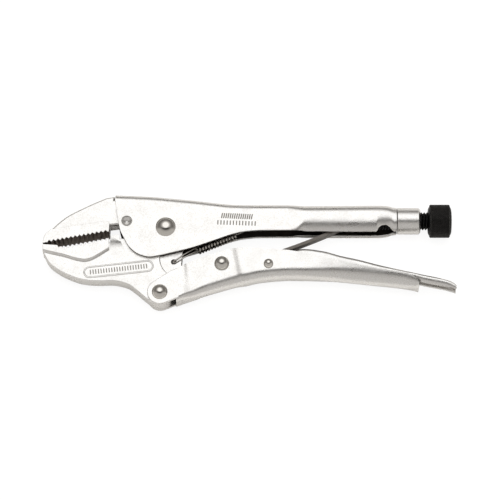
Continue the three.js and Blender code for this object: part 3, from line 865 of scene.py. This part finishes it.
def heel():
    """The block behind the pad, which slopes down to the jaw's side and clears the handle's edge."""
    clear = 28.5

    def outline(foot):
        lowest = math.degrees(math.asin(-foot / clear))
        round_side = arc((0, 0), clear, 180 + 9.2, 180 + lowest, 12)
        return [(-33.2, foot), (-33.2, -5.4)] + round_side

    wide, narrow = outline(-13.6), outline(-9.2)
    low = JAW_HALF - 0.2
    return stack("jaw heel", [(-PAD_HALF, narrow), (-low, wide), (low, wide), (PAD_HALF, narrow)])


def moving_jaw():
    """The forged lower jaw: toothed pad, hub, tail and a sunk face round the spring's hole."""
    body = [(-73.4, -13), (-60, -15.5), (-36, -10.4), (-33.2, -8.6), (-27.5, -6.6)]
    body += arc((0, 0), HUB_RADIUS, 207, 0, 60) + [(10.6, -12), (9.5, -25), (6.4, -36)]
    body += arc(LEVER_PIVOT, TAIL_RADIUS, 0, -120, 24)
    body += smooth_line([(-7.0, -47.3), (-12.6, -43), (-18.6, -37.9), (-22.9, -35.1), (-30.7, -33.2),
                         (-39.8, -33.3), (-45.8, -33), (-51.9, -31.9), (-57.9, -29.7), (-64, -26.5),
                         (-70, -21.7), (-74, -14.4)])[1:]
    core = plate("jaw body", body, -JAW_HALF, JAW_HALF)
    for side in (1, -1):
        levels = sorted((side * (JAW_HALF - 0.9), side * (JAW_HALF + 2)))
        combined(core, disc((8.6, -19), 12.1, *levels, 96), "DIFFERENCE")
    combined(core, disc(SPRING_EYE, 1.5, -JAW_HALF - 1, JAW_HALF + 1, 32), "DIFFERENCE")
    core = bevelled(core, 0.8)
    combined(core, bevelled(lower_pad(), 0.2, 2), "UNION")
    combined(core, bevelled(heel(), 0.25, 2), "UNION")
    return together("moving jaw", core, *plaque_rim(1), *plaque_rim(-1))


# ---------- Lever group ----------
def lever():
    """The pressed lever, joggled in beside the link, with an ear each side of the jaw's tail."""
    waist = LEVER_HALF - 0.9
    rows = [  # x, spine, lip, half width, corner, taper
        (6.5, -46.4, -26.0, LEVER_HALF, 2.6, 0), (10.0, -45.1, -24.4, LEVER_HALF, 3.2, 0),
        (16.0, -42.9, -22.1, waist, 4.3, 0), (20.7, -41.2, -20.3, waist, 5.0, 0),
        (31.0, -38.1, -16.4, waist, 5.5, 0), (41.0, -35.4, -13.7, waist, 6.0, 0),
        (46.0, -34.4, -13.0, LEVER_HALF, 6.0, 0), (57.0, -32.4, -13.1, LEVER_HALF, 6.0, 0),
        (66.0, -31.4, -13.8, LEVER_HALF, 6.0, 0), (75.0, -30.9, -14.7, LEVER_HALF, 6.0, 0),
        (84.0, -31.1, -16.3, LEVER_HALF, 6.2, 0.02), (93.0, -31.5, -18.0, LEVER_HALF, 6.8, 0.08),
        (103.0, -32.2, -20.0, LEVER_HALF, 7.5, 0.16), (115.0, -33.5, -22.9, LEVER_HALF, 7.7, 0.22),
        (127.0, -34.7, -25.8, LEVER_HALF, 7.2, 0.24),
        (LEVER_END - 10.9, -36.2, -28.4, LEVER_HALF, 6.6, 0.24),
        (LEVER_END - 5.3, -36.9, -29.8, LEVER_HALF, 5.6, 0.22),
        (LEVER_END - 2.2, -37.2, -31.9, LEVER_HALF, 4.2, 0.18),
        (LEVER_END - 0.6, -37.3, -33.6, LEVER_HALF, 3.0, 0.12),
        (LEVER_END, -37.4, -34.6, LEVER_HALF, 2.3, 0.1),
    ]
    stations = []
    for x, spine, lip, half, corner, taper in rows:
        lean = -0.2 if 12 < x < 50 else 0.0
        stations.append(station(x, spine, lip, half, corner, lean=lean, taper=taper))
    shell = channel("lever shell", stations, LEVER_SHEET)
    ear = arc(LEVER_PIVOT, EAR_RADIUS, 125, 288, 48)
    ear += [(6.5, -45.0), (8.4, -44.2), (8.4, -25.4), (3.0, -27.7)]
    inside, outside = LEVER_HALF - LEVER_SHEET, LEVER_HALF - 0.03
    upper = bevelled(plate("upper ear", ear, inside, outside), 0.4)
    lower = bevelled(plate("lower ear", ear, -outside, -inside), 0.4)
    return together("lever", shell, upper, lower)


def toggle_link():
    """The forged strut that bears on the adjusting screw."""
    start, end = Vector(LINK_PIVOT), Vector((reach("toggle_link", 0)[1] - 4, SCREW_HEIGHT))
    bow = 2.5
    middle = (start + end) / 2 + Vector((bow / 2, -2 * bow))
    width = 4.6
    upper, lower = [], []
    for i in range(25):
        t = i / 24
        point = start * (1 - t) ** 2 + middle * 2 * t * (1 - t) + end * t**2
        along = ((middle - start) * (1 - t) + (end - middle) * t).normalized()
        across = Vector((-along.y, along.x)) * width / 2
        upper.append(tuple(point + across * -0.2))
        lower.append(tuple(point - across))
    strut = plate("strut", lower + upper[::-1], -LINK_HALF, LINK_HALF)
    eye = disc(LINK_PIVOT, 5.2, -LINK_HALF, LINK_HALF)
    nose = disc(tuple(end), 4.0, -LINK_HALF, LINK_HALF)
    return bevelled(combined(combined(strut, eye, "UNION"), nose, "UNION"), 0.4)


def release_lever():
    """The pressed thumb lever inside the lever, with its tab standing out behind."""
    inside = [  # x, spine, lip
        (57.3, -20.2, -26.8), (62.0, -18.6, -26.8), (66.0, -17.2, -26.2), (70.0, -15.9, -22.5),
        (76.0, -13.9, -20.5), (83.0, -12.6, -20.0), (94.7, -14.0, -22.0), (105.6, -17.0, -25.0),
        (116.3, -19.4, -27.3), (127.0, -22.3, -29.1),
    ]
    tab = [  # x, spine, lip, curl
        (LEVER_END - 10.9, -26.0, -30.8, 30), (LEVER_END - 4.0, -27.5, -32.0, 48),
        (LEVER_END + 1.5, -28.8, -33.8, 55), (LEVER_END + 13.5, -31.4, -36.3, 55),
        (RELEASE_END - 3.0, -33.3, -37.5, 40), (RELEASE_END, -35.3, -38.2, 20),
    ]
    stations = [station(*row, RELEASE_HALF, 2.4) for row in inside]
    for x, spine, lip, curl in tab:
        stations.append(station(x, spine, lip, RELEASE_HALF, 1.7, 4.6, curl))
    return channel("release lever", stations, RELEASE_SHEET)


# ---------- Screw group ----------
def adjusting_screw():
    """The threaded rod, a right-hand thread cut as one running groove."""
    pitch, depth, around = 1.75, 0.95, 64
    length = KNOB_FRONT - 0.05 - SCREW_NOSE
    rows = round(length / (pitch / 12))
    rings = []
    for row in range(rows + 1):
        x = SCREW_NOSE + length * row / rows
        lead = min(1.0, (x - SCREW_NOSE) / 1.5)
        ring = []
        for i in range(around):
            angle = 2 * math.pi * i / around
            phase = (x / pitch + i / around) % 1
            crest = min(1.0, 1.25 * (1 - abs(2 * phase - 1)))
            radius = (SCREW_RADIUS - depth * (1 - crest)) * (0.82 + 0.18 * lead)
            ring.append((x, SCREW_HEIGHT + radius * math.cos(angle), radius * math.sin(angle)))
        rings.append(ring)
    faces, count = closed_tube(rings)
    last = (len(rings) - 1) * count
    faces += [tuple(reversed(range(count))), tuple(range(last, last + count))]
    return outward(piece_from("adjusting screw", [p for ring in rings for p in ring], faces))


def screw_knob():
    """The knurled knob: rounded rims and a band of raised diamonds."""
    rim = 2.6
    core = KNOB_RADIUS - 0.35
    front = [(core - rim + rim * math.sin(a), KNOB_FRONT + rim - rim * math.cos(a))
             for a in np.linspace(0, math.pi / 2, 9)]
    rear = [(r, KNOB_FRONT + KNOB_REAR - x) for r, x in reversed(front)]
    profile = [(0.0, KNOB_FRONT), (core - rim - 0.8, KNOB_FRONT)] + front + rear
    profile += [(4.6, KNOB_REAR), (4.2, KNOB_REAR - 0.5), (0.0, KNOB_REAR - 0.7)]
    barrel = turned("knob barrel", profile, "X", (SCREW_HEIGHT, 0))
    studs = knurl("knob knurl", 52, 17, (core + 0.02) * MM, (KNOB_FRONT + 1.6) * MM,
                  (KNOB_REAR - KNOB_FRONT - 3.2) * MM)
    studs.data.transform(Matrix.Translation((0, SCREW_HEIGHT * MM, REST_HEIGHT * MM)))
    # The studs take the second material, rubbed grey and in part a painted glint.
    studs.data.polygons.foreach_set("material_index", [1] * len(studs.data.polygons))
    return together("screw knob", barrel, studs)


# ---------- The whole tool ----------
def dress(piece, surfaces, body, nodes):
    """Gives a finished piece its surfaces and body, and hides the nodes it stands for."""
    faces = piece.data.polygons
    kinds = np.zeros(len(faces), np.int32)
    faces.foreach_get("material_index", kinds)
    piece.data.materials.clear()  # this also forgets each face's surface
    for surface in surfaces:
        piece.data.materials.append(surface)
    faces.foreach_set("material_index", kinds)
    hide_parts(*nodes)
    if body:
        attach(piece, body)
    return piece


def named(piece, name):
    piece.name = name
    piece.data.name = name
    return piece


def pliers():
    rivets = {
        "main_pivot_rivet": ((0, 0), HANDLE_HALF, 4.0, 6.0, "handle"),
        "lever_rivet": (LEVER_PIVOT, LEVER_HALF, 3.0, 4.7, "lever"),
        "link_rivet": (LINK_PIVOT, LEVER_HALF - 0.9, 3.0, 4.5, "lever"),
        "release_rivet": (RELEASE_PIVOT, LEVER_HALF, 1.8, 2.9, "lever"),
    }
    for node, (centre, wall, shank, head, body) in rivets.items():
        dress(named(smooth(rivet(node, centre, wall, shank, head)), f"{node}_bright"),
              [POLISHED], body, [node])
    plain = [
        # The handle's and lever's second material darkens their inside faces as painted shade.
        ("handle_shell", fixed_handle(), [SATIN, INSIDE_PAINTED_SHADE], "handle", "satin_plate", "fixed_handle"),
        ("upper_jaw", fixed_jaw(), [SATIN, TEETH], "handle", "satin_plate", "fixed_jaw"),
        ("staked_jaw_pin", jaw_pin(), [SATIN], "handle", "satin_plate", "fixed_jaw_pin"),
        ("turned_bush", thread_bush(), [SATIN], "handle", "satin_plate", "thread_bush"),
        ("lower_jaw", moving_jaw(), [SATIN, TEETH, ETCHED], "jaw", "satin_plate", "moving_jaw"),
        ("lever_shell", lever(), [SATIN, INSIDE_PAINTED_SHADE], "lever", "satin_plate", "lever"),
        # The link strut's mid grey is painted shade.
        ("link_strut", toggle_link(), [LINK], "link", "satin_plate", "toggle_link"),
        ("thumb_lever", release_lever(), [SATIN, SATIN], "release", "satin_plate", "release_lever"),
        ("threaded_rod", adjusting_screw(), [BLACK], "screw", "black_oxide", "adjusting_screw"),
        ("knurled_knob", screw_knob(), [BLACK, RUBBED_AND_GLINT], "knob", "black_oxide", "screw_knob"),
    ]
    for name, piece, surfaces, body, slot, node in plain:
        dress(named(smooth(piece), name), surfaces, body, [node])
    marks = named(size_marks(), "tick_marks")
    marks.data.materials.clear()
    marks.data.materials.append(ETCHED)
    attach(marks, "handle")
    spring = dress(named(smooth(return_spring()), "tension_spring"), [WIRE], None,
                   ["return_spring"])
    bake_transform(spring)


# ---------- Floor, light and camera ----------
def floor():
    """A plain pale floor."""
    reach_out = 3.0
    mesh = bpy.data.meshes.new("floor")
    corners = [(-reach_out, -reach_out, 0), (reach_out, -reach_out, 0), (reach_out, reach_out, 0),
               (-reach_out, reach_out, 0)]
    mesh.from_pydata(corners, [], [(0, 1, 2, 3)])
    plane = bpy.data.objects.new("floor", mesh)
    bpy.context.scene.collection.objects.link(plane)
    paper, tree, shader, place = material("matt white paper, lit from below", "#C9C7C4", 0.0, 0.9)
    shader.inputs["Specular IOR Level"].default_value = 0.1
    glow = add(tree, "ShaderNodeEmission", {"Color": linear("#FFFFFF"), "Strength": 1.12})
    straight = add(tree, "ShaderNodeLightPath").outputs["Is Camera Ray"]
    share = add(tree, "ShaderNodeMath", {0: straight, 1: 0.8}, operation="MULTIPLY").outputs[0]
    lit = add(tree, "ShaderNodeMixShader", {0: share, 1: shader.outputs[0], 2: glow.outputs[0]})
    tree.links.new(lit.outputs[0], tree.nodes["Material Output"].inputs["Surface"])
    mesh.materials.append(paper)


def room():
    """A studio: a bright panel overhead, a dark gap round it, and pale walls in front."""
    world = bpy.data.worlds.new("studio")
    bpy.context.scene.world = world
    world.use_nodes = True
    tree = world.node_tree
    tree.nodes.clear()
    way = add(tree, "ShaderNodeTexCoord").outputs["Generated"]
    lean = math.radians(25)
    panel = (0, math.sin(lean), math.cos(lean))
    aim = add(tree, "ShaderNodeVectorMath", {0: way, 1: panel}, operation="DOT_PRODUCT")
    front, back = add(tree, "ShaderNodeValToRGB"), add(tree, "ShaderNodeValToRGB")
    share = add(tree, "ShaderNodeMapRange", {"Value": aim.outputs["Value"], "From Min": -1.0})
    for ramp, stops in (
        (front, ((180, 0.42), (95, 0.42), (66, 0.4), (54, 0.3), (42, 0.04), (33, 0.03), (28, 0.7),
                 (24, 1.0))),
        (back, ((180, 0.36), (100, 0.34), (78, 0.26), (62, 0.14), (47, 0.16), (36, 0.34), (28, 0.6),
                (22, 1.0))),
    ):
        tree.links.new(share.outputs["Result"], ramp.inputs["Fac"])
        colours = ramp.color_ramp.elements
        while len(colours) < len(stops):
            colours.new(0.5)
        for element, (angle, level) in zip(colours, stops):
            element.position = (math.cos(math.radians(angle)) + 1) / 2
            warmth = 0.05 * (1 - level)
            element.color = (level, level * (1 - warmth), level * (1 - 2 * warmth), 1)
    depth = add(tree, "ShaderNodeSeparateXYZ", {0: way}).outputs["Y"]
    side = add(tree, "ShaderNodeMapRange", {"Value": depth, "From Min": -0.15, "From Max": 0.15})
    mixed = add(tree, "ShaderNodeMix", {0: side.outputs["Result"], COLOUR_A: front.outputs["Color"],
                                        COLOUR_B: back.outputs["Color"]}, data_type="RGBA")
    glow = add(tree, "ShaderNodeBackground", {"Color": mixed.outputs[MIXED], "Strength": 1.4})
    add(tree, "ShaderNodeOutputWorld", {"Surface": glow.outputs[0]})


def fill_light():
    """A large soft light that brightens the floor and leaves the metal's reflections alone."""
    light = bpy.data.lights.new("overhead fill", "AREA")
    light.shape = "DISK"
    light.size = 1.6
    light.energy = 26
    lamp = bpy.data.objects.new("overhead fill", light)
    lamp.location = (0.05, 0.1, 1.5)
    lamp.visible_glossy = False
    bpy.context.scene.collection.objects.link(lamp)


def camera():
    """A long lens looking down at the tool from the lever's side."""
    elevation = math.radians(72)
    lens, sensor, width = 200.0, 36.0, 302.3 * MM
    distance = width * lens / sensor
    target = Vector((50.9 * MM, -12.1 * MM, REST_HEIGHT * MM))
    view = bpy.data.cameras.new("camera")
    view.lens = lens
    view.sensor_width = sensor
    view.clip_end = 20
    eye = bpy.data.objects.new("camera", view)
    eye.location = target + distance * Vector((0, -math.cos(elevation), math.sin(elevation)))
    eye.rotation_euler = (math.pi / 2 - elevation, 0, 0)
    bpy.context.scene.collection.objects.link(eye)
    bpy.context.scene.camera = eye


pliers()
floor()
room()
fill_light()
camera()
bpy.context.scene.view_settings.view_transform = "Standard"
